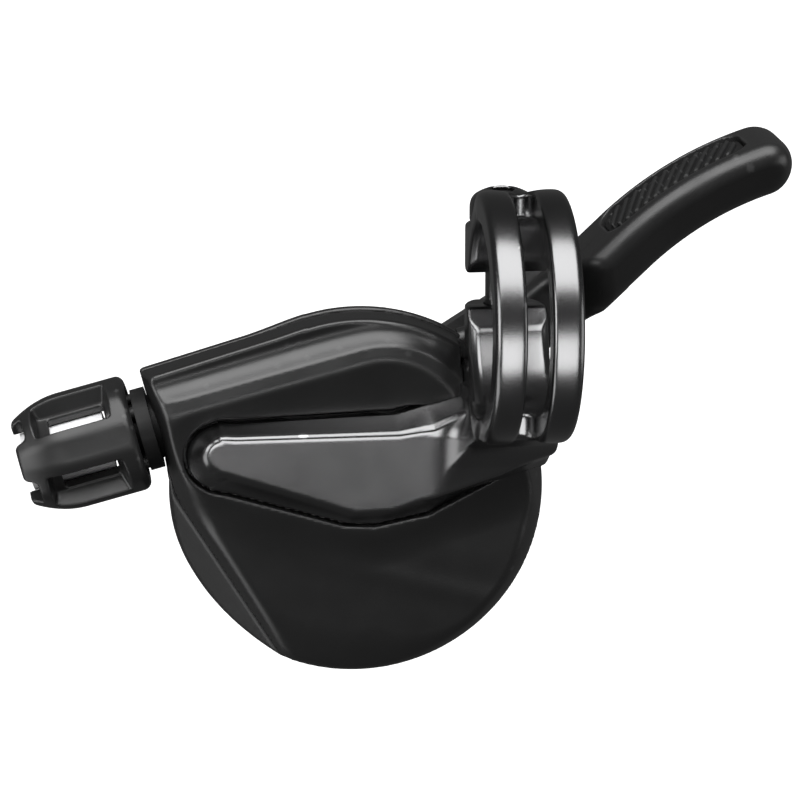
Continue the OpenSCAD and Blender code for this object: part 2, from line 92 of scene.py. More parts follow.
# Casing
AXLE = (-16.7, -26.0)
CASE_R = 22.69
WALL = 1.8
PARTING = -20.0
POCKET_FLOOR = -16.6
FLOOR_UNDER = -31.0
SCREW_ANGLES = (100, 170, 250, 330)
SCREW_RING_R = 17.8
SCREW_BOSS_R = 1.8
SCREW_HEAD_R = 1.75
SCREW_HEAD_Z = -30.0
CUP_IN_R = 20.9
CUP_FLOOR = -29.6
CUP_DRAFT = 0.28
HUB_WELL_R = 5.8
HUB_WELL_Z = -28.6
GROOVE = (8.6, 14.6)  # the shallow ring in the cup's underside
GROOVE_Z = -30.65
END_WALL = 44.1  # the casing's end, measured along the adjuster's line from the origin
END_WALL_T = 2.1
LEFT_WALL = 46.6
SEAT_R = 3.9
PORT_R = 1.65

# Levels of the upper cover's top
RIDGE_LEVEL = -13.9
LEAF_LEVEL = -15.35
OUTER_LEVEL = -15.75
RIM_LEVEL = -15.5
DISH_LEVEL = -16.3
SKIRT_LEVEL = -18.9
ROOF_UNDER = -17.5
ROOF_T = 0.9

# Adjuster line
ADJUSTER = (-43.1, -17.9, -21.7)
ADJUSTER_A = math.radians(14.5)
LINE = (math.cos(ADJUSTER_A), math.sin(ADJUSTER_A))
CORNER = (-42.97, -10.02)
NECK_FOOT = (-39.2, -24.6)
TANGENT = (-23.06, -4.21)
KNOB_R = 7.2
KNOB_LEN = 14.3
KNOB_RIB_A = math.radians(14)
KNOB_FACE = 7.05
KNOB_FACET_A = 0.42
SPRING_RECESS_R = 5.9
NOSE_BORE_R = 3.3
KNOB_BORE_R = 3.62
POCKET_SPAN = (2.6, 11.4)
SLOT_SPAN = (3.1, 9.9)
SLOT_HALF = 1.45
NOTCH_HALF = 1.7
RIB_HOLLOW = 2.5  # slots and notches start this far from the knob's axis
NOTCH_DEPTH = 1.5

# Lever
LEVER_A = math.radians(43.5)
BLADE_LINE = -1.3
BLADE_STRAIGHT = 44.2
BLADE_BEND_R = 42.0
BLADE_BEND_A = math.radians(26)
BLADE_FROM = 24.7
PAD_WALL = 3.98  # the pad face's distance from the blade's middle line, at its lower edge
PAD_WALL_Z = -26.0
PAD_RECESS = 1.0
LEVER_SCREWS = (27.2, 32.8)
LEVER_SCREW_R = 1.3


# ---- distance fields -----------------------------------------------------------------------------


def low(a, b, k=0.0):
    """Union of two fields, with a fillet about k wide."""
    if np.isscalar(k) and k <= 0:
        return np.minimum(a, b)
    h = np.maximum(k - np.abs(a - b), 0) / k
    return np.minimum(a, b) - h * h * k / 4


def high(a, b, k=0.0):
    """Intersection of two fields, with a rounded edge about k wide."""
    return -low(-a, -b, k)


def cut(a, b, k=0.0):
    """Field a without field b."""
    return high(a, -b, k)


def circle(x, y, centre, r):
    return np.hypot(x - centre[0], y - centre[1]) - r


def side(x, y, normal, offset):
    """Distance past a straight line whose outward direction is normal."""
    n = math.hypot(*normal)
    return (normal[0] * x + normal[1] * y - offset) / n


def edge(x, y, p, q):
    """Distance to the right of the line from p to q."""
    dx, dy = q[0] - p[0], q[1] - p[1]
    n = math.hypot(dx, dy)
    return ((x - p[0]) * dy - (y - p[1]) * dx) / n


def polygon(x, y, corners):
    """Signed distance to a closed outline."""
    shape = np.broadcast(x, y).shape
    best, sign = np.full(shape, 1e9), np.ones(shape)
    for (ax, ay), (bx, by) in zip(corners, corners[1:] + corners[:1]):
        ex, ey, wx, wy = bx - ax, by - ay, x - ax, y - ay
        t = np.clip((wx * ex + wy * ey) / (ex * ex + ey * ey), 0, 1)
        best = np.minimum(best, (wx - ex * t) ** 2 + (wy - ey * t) ** 2)
        above, below, left = wy >= 0, y < by, ex * wy > ey * wx
        sign = np.where((above & below & left) | (~above & ~below & ~left), -sign, sign)
    return sign * np.sqrt(best)


def convex(x, y, corners, k):
    """A convex outline, anticlockwise, with rounded corners."""
    d = None
    for p, q in zip(corners, corners[1:] + corners[:1]):
        e = edge(x, y, p, q)
        d = e if d is None else high(d, e, k)
    return d


def slab(v, start, end):
    return np.maximum(start - v, v - end)


def step(v, start, end):
    """0 before start, 1 after end and smooth in between."""
    t = np.clip((v - start) / (end - start), 0, 1)
    return t * t * (3 - 2 * t)


# ---- from field to mesh --------------------------------------------------------------------------


NEWTON_STEPS = 4
LEAST_SLOPE = 0.05
STEP_LIMIT = 0.4  # a point moves at most this share of the pitch in one step
NORMAL_REACH = 0.09
LAYERS = 16  # grid layers worked out at a time
TINY = 1e-9


def gradient(field, p, h=0.04):
    g = np.empty_like(p)
    for i in range(3):
        d = np.zeros(3)
        d[i] = h
        a, b = p + d, p - d
        g[:, i] = (field(*a.T) - field(*b.T)) / (2 * h)
    return g


def net(field, start, end, pitch):
    """A point in every cell that the surface crosses, and a quad across every grid edge that it crosses."""
    axes = [np.arange(a, b + pitch, pitch) for a, b in zip(start, end)]
    n = [len(a) for a in axes]
    value = np.empty(n, np.float32)
    for i in range(0, n[0], LAYERS):
        part = field(axes[0][i : i + LAYERS, None, None], axes[1][None, :, None], axes[2][None, None, :])
        value[i : i + LAYERS] = part
    outside = 0.01
    for i in range(3):
        rim = [slice(None)] * 3
        for at in (0, -1):
            rim[i] = at
            value[tuple(rim)] = np.maximum(value[tuple(rim)], outside)
    inside = value < 0
    corners = [(i, j, k) for i in (0, 1) for j in (0, 1) for k in (0, 1)]

    def corner(a, c):
        return a[c[0] : n[0] - 1 + c[0], c[1] : n[1] - 1 + c[1], c[2] : n[2] - 1 + c[2]]

    count = sum(corner(inside, c).astype(np.int8) for c in corners)
    cells = np.argwhere((count > 0) & (count < 8))
    index = np.full([m - 1 for m in n], -1, np.int64)
    index[tuple(cells.T)] = np.arange(len(cells))
    total, hits = np.zeros((len(cells), 3)), np.zeros((len(cells), 1))
    for c in corners:
        for axis in range(3):
            if c[axis]:
                continue
            d = list(c)
            d[axis] = 1
            va = value[tuple((cells + c).T)]
            vb = value[tuple((cells + d).T)]
            crossed = (va < 0) != (vb < 0)
            t = np.where(crossed, va / np.where(crossed, va - vb, 1), 0)
            at = np.repeat(np.array([c], float), len(cells), 0)
            at[:, axis] = t
            total += at * crossed[:, None]
            hits += crossed[:, None]
    origin = np.array([a[0] for a in axes])
    points = origin + (cells + total / hits) * pitch
    quads = []
    for axis in range(3):
        one, two = (axis + 1) % 3, (axis + 2) % 3
        a = np.moveaxis(inside, axis, 0)
        changed = np.moveaxis(a[:-1] != a[1:], 0, axis)
        at = np.argwhere(changed)
        at = at[(at[:, one] > 0) & (at[:, two] > 0) & (at[:, one] < n[one] - 1) & (at[:, two] < n[two] - 1)]
        ring = []
        for o, t in ((1, 1), (0, 1), (0, 0), (1, 0)):
            c = at.copy()
            c[:, one] -= o
            c[:, two] -= t
            ring.append(index[tuple(c.T)])
        ring = np.stack(ring, 1)
        outward = inside[tuple(at.T)]
        quads.append(np.where(outward[:, None], ring[:, ::-1], ring))
    return points, np.concatenate(quads)


def skin(name, field, start, end, pitch, place=None):
    """A mesh of the field's surface. place turns the field's own millimetres into the row frame's."""
    points, quads = net(field, start, end, pitch)
    for _ in range(NEWTON_STEPS):
        g = gradient(field, points)
        size = np.maximum((g * g).sum(1), LEAST_SLOPE)
        move = (field(*points.T) / size)[:, None] * g
        length = np.linalg.norm(move, axis=1, keepdims=True)
        points = points - move * np.minimum(1, STEP_LIMIT * pitch / np.maximum(length, TINY))
    normals = gradient(field, points, NORMAL_REACH)
    normals /= np.maximum(np.linalg.norm(normals, axis=1, keepdims=True), TINY)
    if place is not None:
        turn = np.array(place.to_3x3())
        points = points @ turn.T + np.array(place.translation)
        normals = normals @ turn.T
    a, b, c = (points[quads[:, i]] for i in (0, 1, 2))
    if np.einsum("ij,ij->", np.cross(b - a, c - a), normals[quads[:, 0]]) < 0:
        quads = quads[:, ::-1]
    mesh = bpy.data.meshes.new(name)
    mesh.vertices.add(len(points))
    mesh.vertices.foreach_set("co", (points * MM).astype(np.float32).ravel())
    mesh.loops.add(quads.size)
    mesh.loops.foreach_set("vertex_index", quads.astype(np.int32).ravel())
    mesh.polygons.add(len(quads))
    mesh.polygons.foreach_set("loop_start", np.arange(0, quads.size, 4, dtype=np.int32))
    mesh.update(calc_edges=True)
    mesh.polygons.foreach_set("use_smooth", np.ones(len(quads), bool))
    mesh.normals_split_custom_set_from_vertices(normals.astype(np.float32).tolist())
    piece = bpy.data.objects.new(name, mesh)
    bpy.context.scene.collection.objects.link(piece)
    return piece


# ---- handlebar clamp -----------------------------------------------------------------------------

ARM_FOOT = [(-33.6, -15.4), (-13.0, -14.8), (-5.0, -12.6), (-5.0, -9.0), (5.0, -9.0), (5.0, -18.0),
            (0.0, -22.4), (-8.6, -27.3), (-15.0, -28.6), (-18.6, -28.4), (-34.7, -23.5)]
ARM_FACE = [(-33.6, -16.3), (-12.5, -16.3), (-8.6, -15.7), (-4.0, -13.0), (4.0, -11.0), (4.0, -17.0),
            (-1.0, -21.4), (-8.0, -25.0), (-13.0, -26.9), (-17.6, -27.1), (-34.2, -20.9)]


def arm_plan(x, y):
    """Outline of the bracket where it lies in the casing's pocket."""
    return low(polygon(x, y, ARM_FOOT), circle(x, y, ARM_END, ARM_END_R), 0.6)


def arm(x, y, z):
    """The bracket's arm. The factors below 1 keep the field's slope near 1 on its leaning faces."""
    tilt = ARM_TILT * (y - ARM_TILT_Y)
    foot = np.maximum(ARM_FOOT_Z + tilt, ARM_FOOT_LOW)
    t = np.clip((z - foot) / (ARM_FACE_Z + tilt - foot), 0, 1)
    top_plan = low(polygon(x, y, ARM_FACE), circle(x, y, ARM_FACE_END, ARM_FACE_END_R), 0.6)
    plan = arm_plan(x, y) * (1 - t) + top_plan * t
    top = (z - tilt - ARM_TOP_Z) * 0.97
    return high(high(plan * 0.85, top, 0.7), BRACKET_UNDER - z, 0.3)


FOOT_SIDE = [(-9.0, -16.4), (-21.8, -16.4), (-21.4, -14.6), (-19.2, -12.0), (-17.1, -8.0), (-15.2, -3.6),
             (-14.3, 0.0), (-11.3, 2.0), (-9.0, -4.0)]


def clamp_side(x, z):
    """Distance outside the clamp's two sides. The inboard one leans in towards the bolt."""
    lean = 0.25 * step(-z, 1, 9)
    return np.abs(x - lean) - CLAMP_HALF + lean


def band(x, y, z):
    """The clamp band with its two rails, and the window between them."""
    ring = np.hypot(y, z)
    rail = np.abs(np.abs(x) - (CLAMP_HALF + WINDOW_HALF) / 2)
    crown = 0.05 * rail * rail
    solid = high(ring - BAND_R + crown * (z > -6), clamp_side(x, z), 1.1)
    ends = np.where(y > 0, np.hypot(x, np.minimum(z + 1.0, 0)), np.hypot(x, np.minimum(z - 2.2, 0)))
    return solid, ends - WINDOW_HALF + WINDOW_TRIM


def jaw(x, y, z, reach):
    """A jaw whose lower end is round about the bolt."""
    below = np.hypot(clamp_side(x, z) + CLAMP_HALF, z - JAW_Z) - CLAMP_HALF
    section = np.where(z < JAW_Z, below, clamp_side(x, z))
    return high(high(section, slab(y, *reach), 0.5), z - JAW_TOP)


def bevels(x, y, z):
    """What the bevels take off the jaws: along the bore's two ends, and along the mouth between the jaws."""
    out = np.hypot(y, z) - BAR_R
    along_ends = 0.707 * (out - clamp_side(x, z) - 0.85)
    along_ends = np.maximum(np.maximum(along_ends, out - 1.6), z - BEVEL_TOP)
    mouth = 0.5 * (UPPER_JAW[0] + LOWER_JAW[1])
    along_mouth = 0.707 * (out + np.abs(y - mouth) - 2.05 - 2.0)
    return along_ends, np.maximum(along_mouth, z - BEVEL_TOP)


def clamp(x, y, z):
    """The whole forging: band, jaws, the foot between band and arm, and the arm."""
    solid, window = band(x, y, z)
    lug = high(jaw(x, y, z, LOWER_JAW), high(LUG_FRONT - y, LUG_UNDER - z, 0.3), 0.3)
    body = low(low(solid, jaw(x, y, z, UPPER_JAW), 1.0), lug, 1.0)
    foot = high(polygon(y, z, FOOT_SIDE) + 0 * x, clamp_side(x, z), 0.9)
    body = low(body, foot, 1.2)
    body = low(arm(x, y, z), body, 0.8 + 5.2 * step(-y, 13, 17))
    # behind the arm the clamp's flat sides hold, and they are let go where the arm begins
    body = high(body, clamp_side(x, z) - 60 * step(-y, 11, 15), 0.2)
    in_pocket = (z < -14.2) & (y < -9.4)
    body = high(body, np.where(in_pocket, arm_plan(x, y) * 0.9, -50.0))
    body = high(body, BRACKET_UNDER - z - 20 * (y > -9.4), 0.3)
    body = cut(body, np.hypot(y, z) - BAR_R, 0.25)
    for bevel in bevels(x, y, z):
        body = cut(body, bevel, 0.3)
    gap = np.maximum(slab(y, LOWER_JAW[1], UPPER_JAW[0]), z + 5.0)
    body = cut(body, gap, 0.3)
    body = cut(body, high(window, -z - 2.7, 0.3), 0.6)
    bolt = np.hypot(x, z - BOLT_Z)
    body = cut(body, np.maximum(bolt - COUNTERBORE_R, UPPER_JAW[1] - y), 0.2)
    return cut(body, np.maximum(bolt - BOLT_HOLE_R, THREAD_END - y), 0.1)


def clamp_bolt(x, y, z):
    r = np.hypot(x, z - BOLT_Z)
    head_y = UPPER_JAW[1]
    dome = np.hypot(r, y - (head_y - 1.7)) - 6.0
    head = high(high(r - BOLT_HEAD_R, dome, 0.8), head_y + 0.02 - y, 0.5)
    shank = high(r - BOLT_R, slab(y, -8.8, head_y + 0.4), 0.4)
    a = np.arctan2(x, z - BOLT_Z)
    hexagon = r * np.cos((a + math.pi / 6) % (math.pi / 3) - math.pi / 6) - HEX_HALF
    return cut(low(head, shank, 0.3), np.maximum(hexagon, head_y + HEX_DEPTH - y), 0.25)


# ---- casing --------------------------------------------------------------------------------------


def outline(x, y):
    """Plan of the casing at its parting line."""
    neck = polygon(x, y, [AXLE, TANGENT, CORNER, NECK_FOOT])
    return low(circle(x, y, AXLE, CASE_R), neck, 0.4)


def adjuster_coords(x, y, z):
    """Distances out along the adjuster's axis, up from it, and from it towards the rider."""
    dx, dy = x - ADJUSTER[0], y - ADJUSTER[1]
    return -(dx * LINE[0] + dy * LINE[1]), z - ADJUSTER[2], dy * LINE[0] - dx * LINE[1]


def seat_bore(x, y, z):
    s, up, back = adjuster_coords(x, y, z)
    return np.maximum(np.hypot(up, back) - SEAT_R, -12 - s)


def screw_spots(x, y):
    """Distance to the nearest cover screw."""
    turns = [math.radians(a) for a in SCREW_ANGLES]
    spots = [(AXLE[0] + SCREW_RING_R * math.cos(a), AXLE[1] + SCREW_RING_R * math.sin(a)) for a in turns]
    d = circle(x, y, spots[0], 0)
    for s in spots[1:]:
        d = np.minimum(d, circle(x, y, s, 0))
    return d


LEAF_CENTRE = (-13.9, -17.8)
LEAF_R = 9.65
CREASE_OUT = 1.7


def leaf_edge(x, y):
    """Distance outside the raised leaf's upper edge: straight along the adjuster's line, then round."""
    dx, dy = x - LEAF_CENTRE[0], y - LEAF_CENTRE[1]
    along = np.maximum(dx * LINE[0] + dy * LINE[1], 0)
    across = np.maximum(dy * LINE[0] - dx * LINE[1], 0)
    return np.hypot(along, across) - LEAF_R


def rim_edge(x, y):
    """Distance outside the rim below the arm's pocket, a shallow V."""
    return high(side(x, y, (-0.284, -0.959), 34.05), side(x, y, (0.2755, -0.961), 25.12), 1.6)


def leaf_height(x, y):
    """The leaf, the band outside its edge and the ridge along the casing's rear edge."""
    leaf, plan = leaf_edge(x, y), outline(x, y)
    face = high(RIDGE_LEVEL + 0.2 * leaf, LEAF_LEVEL + 0.01 * leaf, 1.2)
    band_slope = 0.33
    band_height = RIDGE_LEVEL - band_slope * leaf
    rise = RIDGE_LEVEL - band_slope * CREASE_OUT - 1.05 * (leaf - CREASE_OUT)
    ridge = OUTER_LEVEL - 0.5 * step(x, -14, -1) + 0.3 * plan
    hollow = high(low(band_height, rise, 0.15), ridge, 1.6)
    hollow = high(hollow, RIM_LEVEL - 0.8 * (y + 17.5), 0.6)
    return low(face, hollow, 0.3)


def dish_height(x, y):
    """The wide dish in front of the arm: two planes that meet in a crease, and the rim behind them."""
    crease = side(x, y, (-0.27, -0.963), 37.85)
    upper_dish = DISH_LEVEL - 0.03 * crease
    lower_dish = DISH_LEVEL - 0.10 * crease
    dish = low(upper_dish, lower_dish, 0.4 + 1.6 * step(-x, 4, 30))
    dish = dish + 0.15 * np.exp(-((crease / 1.5) ** 2)) * step(x, -40, -8)
    return high(dish, RIM_LEVEL - 0.5 * rim_edge(x, y), 1.3)


def skirt_height(x, y):
    """The cone that falls to the casing's edge in front."""
    r = np.hypot(x - AXLE[0], y - AXLE[1])
    steep = 0.38 + 0.75 * step(x, -16, 0)
    return SKIRT_LEVEL + steep * (CASE_R - r) + 6 * (1 - step(-y, 16, 30))


def top_height(x, y):
    """Height of the casing's top."""
    return low(low(leaf_height(x, y), dish_height(x, y), 0.4), skirt_height(x, y), 0.7)


def left_wall(x, y, z, lean, factor):
    """The casing's straight wall at the front left. It leans inwards going up, through the parting line."""
    return (side(x, y, (-0.854, -0.519), LEFT_WALL) + lean * (z - PARTING)) * factor


def upper_cover(x, y, z):
    plan = outline(x, y)
    a = np.degrees(np.arctan2(y - AXLE[1], x - AXLE[0]))
    upright = 0.06
    lean = upright + 0.4 * step(-a, -75, 5) * (a > -170)
    lean = np.where((a > 90) | (a < -120), upright, lean)
    wall = plan + lean * (z - PARTING)
    height = top_height(x, y)
    body = high((z - height) * 0.93, wall * 0.96, 0.7)
    end = side(x, y, (-LINE[0], -LINE[1]), END_WALL) + 0.29 * (z - PARTING)
    body = high(body, end, 0.8)
    left = left_wall(x, y, z, 0.57, 0.87)
    body = high(body, left, 0.8)
    body = high(body, PARTING - z + 0.06, 0.35)
    s, _, _ = adjuster_coords(x, y, z)
    roof = np.minimum(ROOF_UNDER, height - ROOF_T)
    room = np.maximum(np.maximum(plan + WALL, z - roof), s + END_WALL_T + WALL)
    room = np.maximum(room, left + WALL)
    body = cut(body, np.maximum(room, SCREW_BOSS_R - screw_spots(x, y)), 0.1)
    # the pocket fits the arm loosely, except beside the clamp's foot
    gap = 0.4 - 0.9 * step(x, -12, -7) * step(y, -17, -14)
    pocket = np.maximum(arm_plan(x, y) - gap, POCKET_FLOOR - z)
    body = cut(body, pocket, 0.25)
    jaw_room = np.maximum(np.maximum(clamp_side(x, z) - 0.2, -9.6 - y), -18 - z)
    body = cut(body, jaw_room, 0.2)
    return cut(body, seat_bore(x, y, z), 0.2)


def cup(x, y, z):
    """Outside of the lower cover: the round cup and the neck that carries the adjuster."""
    plan = outline(x, y)
    depth = np.maximum(-21 - z, 0)
    r = np.hypot(x - AXLE[0], y - AXLE[1])
    shifted = np.hypot(x - AXLE[0] + 0.9, y - AXLE[1] + 0.5)
    cone = np.minimum(r, shifted + 0.12 * np.maximum(-25 - z, 0)) - CASE_R + CUP_DRAFT * depth
    round_body = high(np.maximum(cone, r - CASE_R) * 0.96, FLOOR_UNDER - z, 2.2)
    neck = high((plan + CUP_DRAFT * depth) * 0.96, -29.4 - z, 1.6)
    end = side(x, y, (-LINE[0], -LINE[1]), END_WALL)
    _, _, back = adjuster_coords(x, y, z)
    neck = high(high(neck, end, 0.8), -6.6 - back, 1.2)
    body = low(round_body, neck, 1.2)
    return high(body, z - PARTING + 0.06, 0.35)


def cup_room(x, y, z, left):
    """Inside of the lower cover, round the winder and in the neck."""
    s, _, back = adjuster_coords(x, y, z)
    r = np.hypot(x - AXLE[0], y - AXLE[1])
    room = np.maximum(r - CUP_IN_R + 0.228 * np.maximum(-19.5 - z, 0), CUP_FLOOR - z)
    neck_room = np.maximum(outline(x, y) + WALL + 1.6, -28 - z)
    neck_room = np.maximum(neck_room, np.maximum(s + END_WALL_T + WALL, -6.2 - back))
    return np.maximum(np.minimum(room, neck_room), left + 1.4)


def lower_cover(x, y, z):
    left = left_wall(x, y, z, 0.85, 0.76)
    body = high(cup(x, y, z), left, 0.5)
    spots = screw_spots(x, y)
    body = cut(body, np.maximum(cup_room(x, y, z, left), SCREW_BOSS_R - spots), 0.1)
    r = np.hypot(x - AXLE[0], y - AXLE[1])
    body = cut(body, np.maximum(r - HUB_WELL_R, z - HUB_WELL_Z), 0.5)
    body = cut(body, np.maximum(spots - SCREW_HEAD_R, z - SCREW_HEAD_Z), 0.2)
    body = cut(body, np.maximum(slab(r, *GROOVE), z - GROOVE_Z), 0.35)
    s, up, back = adjuster_coords(x, y, z)
    port = np.maximum(np.hypot(up, back) - PORT_R, s + 32)
    body = cut(body, port, 0.3)
    return cut(body, seat_bore(x, y, z), 0.2)


# ---- lever ---------------------------------------------------------------------------------------

BLADE_SECTION = [(-1.4, -27.2), (3.0, -27.2), (PAD_WALL, PAD_WALL_Z), (3.38, -16.9), (2.3, -15.9),
                 (0.9, -15.8), (-2.7, -18.7), (-3.7, -20.6), (-3.3, -26.0)]
TIP_TRIM = 0.2  # keeps the tip inside the CAD's
BLADE_END = BLADE_STRAIGHT + BLADE_BEND_R * BLADE_BEND_A - TIP_TRIM
BLADE_EDGE = 0.4
PAD_FROM, PAD_TO = 43.6, 61.8
PAD_LOW, PAD_HIGH = -25.3, -18.0


def blade_coords(x, y):
    """Distance along the blade's middle line, and from it towards the pad."""
    dx, dy = x - BLADE_STRAIGHT, y - BLADE_LINE + BLADE_BEND_R
    turn = np.arctan2(np.maximum(dx, 0), dy)
    along = np.where(dx > 0, BLADE_STRAIGHT + BLADE_BEND_R * turn, x)
    across = np.where(dx > 0, np.hypot(dx, dy) - BLADE_BEND_R, y - BLADE_LINE)
    return along, across


def pad_wall(z):
    """Where the blade's pad face stands, out from its middle line."""
    return PAD_WALL - 0.6 * (z - PAD_WALL_Z) / 9.1


def pad_region(along, z, grow=0.0):
    """The grip pad's outline on the blade's face."""
    mid, half = 0.5 * (PAD_FROM + PAD_TO), 0.5 * (PAD_TO - PAD_FROM)
    level, tall = 0.5 * (PAD_LOW + PAD_HIGH), 0.5 * (PAD_HIGH - PAD_LOW)
    r = 2.2  # of its corners
    u = np.maximum(np.abs(along - mid) - half + r - grow, 0)
    v = np.maximum(np.abs(z - level) - tall + r - grow, 0)
    return np.hypot(u, v) - r


def blade(along, across, z):
    """The blade's section, carried along its middle line and turned round its tip."""
    past = np.maximum(along - BLADE_END, 0)
    reach = np.hypot(past, across)
    share = 0.5 + 0.5 * across / np.maximum(reach, 1e-6)
    flat = convex(across, z, BLADE_SECTION, BLADE_EDGE)
    pad_side = convex(reach, z, BLADE_SECTION, BLADE_EDGE)
    back_side = convex(-reach, z, BLADE_SECTION, BLADE_EDGE)
    return np.where(past > 0, pad_side * share + back_side * (1 - share), flat)


def thumb_lever(x, y, z):
    """The blade, with the root that stands on the steel arm."""
    along, across = blade_coords(x, y)
    block = high(np.abs(across + 0.6) - 3.15, -32.25 - z, 1.0)
    under = 0.68 * (along - 33.6) - 0.733 * (z + 32.3)
    root = high(block, under, 2.4)
    root = high(high(root, z + 22, 0.5), along - 41, 1.0)
    body = low(blade(along, across, z), root, 1.5)
    brow = high(-26 + 0.28 * (along - 24.6), -20.6 + 1.4 * (along - 36.6), 2.0)
    body = high(body, (z - brow) * 0.78, 1.4)
    body = high(body, BLADE_FROM - along, 0.8)
    recess = np.maximum(pad_region(along, z), pad_wall(z) - PAD_RECESS - across)
    body = cut(body, recess, 0.15)
    for at in LEVER_SCREWS:
        body = cut(body, np.maximum(np.hypot(x - at, y - BLADE_LINE) - LEVER_SCREW_R, z + 27.1), 0.1)
    return body


RIB_PITCH = 1.32
RIB_SLANT = 0.5


def grip_pad(x, y, z):
    """The rubber pad: a sheet in the blade's recess, with slanted ribs."""
    along, across = blade_coords(x, y)
    out = across - pad_wall(z)
    sheet = high(out + 0.6, pad_region(along, z, -0.12), 0.3)
    phase = (along + RIB_SLANT * (z + 21.6) - PAD_FROM) / RIB_PITCH
    near = (phase - np.round(phase)) * RIB_PITCH
    rib = high(np.abs(near) * 0.9 - 0.3, out + 0.02, 0.35)
    rib = high(rib, pad_region(along, z, -0.75), 0.3)
    body = low(sheet, rib, 0.25)
    return np.maximum(body, -0.97 - out)


# ---- adjuster knob -------------------------------------------------------------------------------


def knob(s, up, back):
    """Four ribs round a hollow drum. The sectors repeat, so one of them is worked out for all four."""
    c, n = math.cos(KNOB_RIB_A), math.sin(KNOB_RIB_A)
    p, q = np.abs(up * c + back * n), np.abs(back * c - up * n)
    main, lateral = np.maximum(p, q), np.minimum(p, q)
    r = np.hypot(p, q)
    deep, beside = (main + lateral) * math.sqrt(0.5), (main - lateral) * math.sqrt(0.5)
    facet = main * math.cos(KNOB_FACET_A) + lateral * math.sin(KNOB_FACET_A)
    shrink = 0.05 * np.maximum(s - 8.0, 0) ** 2
    hull = high(high(main - KNOB_FACE, facet - KNOB_FACE, 0.25), r - KNOB_R, 0.2)
    body = high((hull + shrink) * 0.86, slab(s, 0, KNOB_LEN), 0.45)
    body = high(body, (r - 6.5 - s) * 0.7, 0.3)
    body = cut(body, np.maximum(r - SPRING_RECESS_R, s - 1.6), 0.15)
    body = cut(body, np.maximum(r - NOSE_BORE_R, s - 2.2), 0.1)
    body = cut(body, np.maximum(r - KNOB_BORE_R, 2 - s), 0.1)
    flare = deep - 5.6
    well_sides = high(beside - 2.3 - 0.55 * flare, 4.5 - deep, 0.2)
    well = high(well_sides, slab(s, *POCKET_SPAN) - 0.3 * flare, 0.5)
    body = cut(body, well, 0.2)
    slot = high(high(beside - SLOT_HALF, RIB_HOLLOW - deep, 0.2), slab(s, *SLOT_SPAN), 0.5)
    body = cut(body, slot, 0.2)
    notch = high(high(beside - NOTCH_HALF, RIB_HOLLOW - deep, 0.2), KNOB_LEN - NOTCH_DEPTH - s, 0.5)
    return cut(body, notch, 0.3)


# ---- materials -----------------------------------------------------------------------------------


def shader(name):
    mat = bpy.data.materials.new(name)
    mat.use_nodes = True
    tree = mat.node_tree
    return mat, tree, tree.nodes["Principled BSDF"]


def noise(tree, scale, detail=4.0, roughness=0.55, stretch=None):
    """A noise pattern in the object's own space. scale is in waves per metre."""
    coords = tree.nodes.new("ShaderNodeTexCoord")
    source = coords.outputs["Object"]
    if stretch is not None:
        mapping = tree.nodes.new("ShaderNodeMapping")
        mapping.inputs["Scale"].default_value = stretch
        tree.links.new(source, mapping.inputs["Vector"])
        source = mapping.outputs["Vector"]
    tex = tree.nodes.new("ShaderNodeTexNoise")
    tex.inputs["Scale"].default_value = scale
    tex.inputs["Detail"].default_value = detail
    tex.inputs["Roughness"].default_value = roughness
    tree.links.new(source, tex.inputs["Vector"])
    return tex.outputs["Fac"]


def ranged(tree, value, start, end, low_in=0.3, high_in=0.7):
    node = tree.nodes.new("ShaderNodeMapRange")
    node.inputs["From Min"].default_value = low_in
    node.inputs["From Max"].default_value = high_in
    node.inputs["To Min"].default_value = start
    node.inputs["To Max"].default_value = end
    tree.links.new(value, node.inputs["Value"])
    return node.outputs["Result"]


def bump(tree, shade, height, strength, distance):
    node = tree.nodes.new("ShaderNodeBump")
    node.inputs["Strength"].default_value = strength
    node.inputs["Distance"].default_value = distance
    tree.links.new(height, node.inputs["Height"])
    tree.links.new(node.outputs["Normal"], shade.inputs["Normal"])


def blended(tree, factor, first, second):
    node = tree.nodes.new("ShaderNodeMix")
    node.data_type = "RGBA"
    node.inputs["A"].default_value = (*first, 1)
    node.inputs["B"].default_value = (*second, 1)
    tree.links.new(factor, node.inputs["Factor"])
    return node.outputs["Result"]


def edge_wear_and_highlight(tree, start=0.52, end=0.62):
    """1 where the mesh is convex and sharp."""
    geometry = tree.nodes.new("ShaderNodeNewGeometry")
    return ranged(tree, geometry.outputs["Pointiness"], 0.0, 1.0, start, end)


def finish_of(name, tone, worn_and_highlight, rough, metal, grain, depth, specular=0.5, stretch=None):
    """A fine-grained finish whose roughness varies, and whose sharp convex edges are painted lighter: a
    little wear, and a painted highlight along the ridges.
    """
    mat, tree, shade = shader(name)
    shade.inputs["Metallic"].default_value = metal
    shade.inputs["Specular IOR Level"].default_value = specular
    fine = noise(tree, grain, 3.0, 0.6, stretch)
    broad = noise(tree, 180.0, 4.0, 0.5)
    # sharp convex edges get the lighter colour: partly wear, partly a painted highlight along the ridges
    tree.links.new(blended(tree, edge_wear_and_highlight(tree), tone, worn_and_highlight), shade.inputs["Base Color"])
    tree.links.new(ranged(tree, broad, rough[0], rough[1]), shade.inputs["Roughness"])
    bump(tree, shade, fine, 0.35, depth)
    return mat


def grey(v):
    return v, v, v * 1.01


# the second colour of each pair is painted along sharp edges: wear and a painted highlight
CREAM, CREAM_WEAR_HIGHLIGHT = (0.62, 0.60, 0.55), (0.70, 0.69, 0.65)
BRONZE, BRONZE_WEAR_HIGHLIGHT = (0.45, 0.30, 0.12), (0.60, 0.45, 0.20)
METAL, PLASTIC, LACQUER = 1.0, 0.0, 0.25


